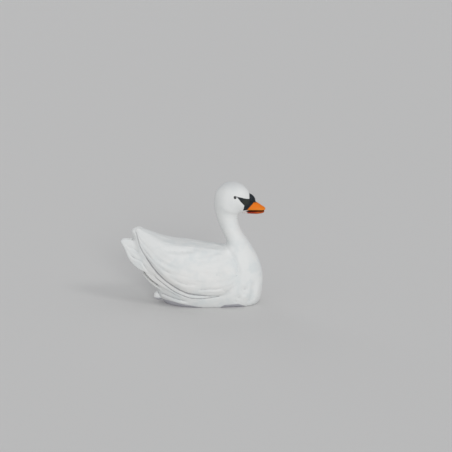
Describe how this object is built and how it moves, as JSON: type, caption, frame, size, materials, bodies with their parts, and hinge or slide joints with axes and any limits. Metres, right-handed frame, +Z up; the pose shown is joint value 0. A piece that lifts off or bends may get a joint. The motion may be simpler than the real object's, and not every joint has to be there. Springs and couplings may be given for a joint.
{
  "type": "toy swan figurine",
  "caption": "Small moulded and hand-painted toy mute swan in a swimming pose, standing on a flat cut at its waterline.",
  "frame": {"origin": "middle of the toy's box in length and width, on the floor it stands on", "axes": "+X the way the swan faces, +Y its left side, +Z up"},
  "size_m": [0.0756, 0.0316, 0.0653],
  "materials": {
    "white_paint": "hand-painted white over moulded plastic, semi-matte",
    "black_paint": "hand-painted black, slightly glossy",
    "orange_paint": "hand-painted orange, satin",
    "red_orange_paint": "hand-painted red-orange, satin"
  },
  "bodies": {
    "root": {"trunk": "white_paint", "neck_lower": "white_paint", "neck_upper": "white_paint", "head": "white_paint", "tail": "white_paint", "undertail": "white_paint", "wing_shield_right": "white_paint", "wing_shield_left": "white_paint", "secondaries_right": "white_paint", "secondaries_left": "white_paint", "primaries_right": "white_paint", "primaries_left": "white_paint", "flank_right": "white_paint", "flank_left": "white_paint", "mask": "black_paint", "bill_knob": "black_paint", "eye_right": "black_paint", "eye_left": "black_paint", "bill_upper": "orange_paint", "bill_lower": "red_orange_paint"}
  },
  "joints": []
}
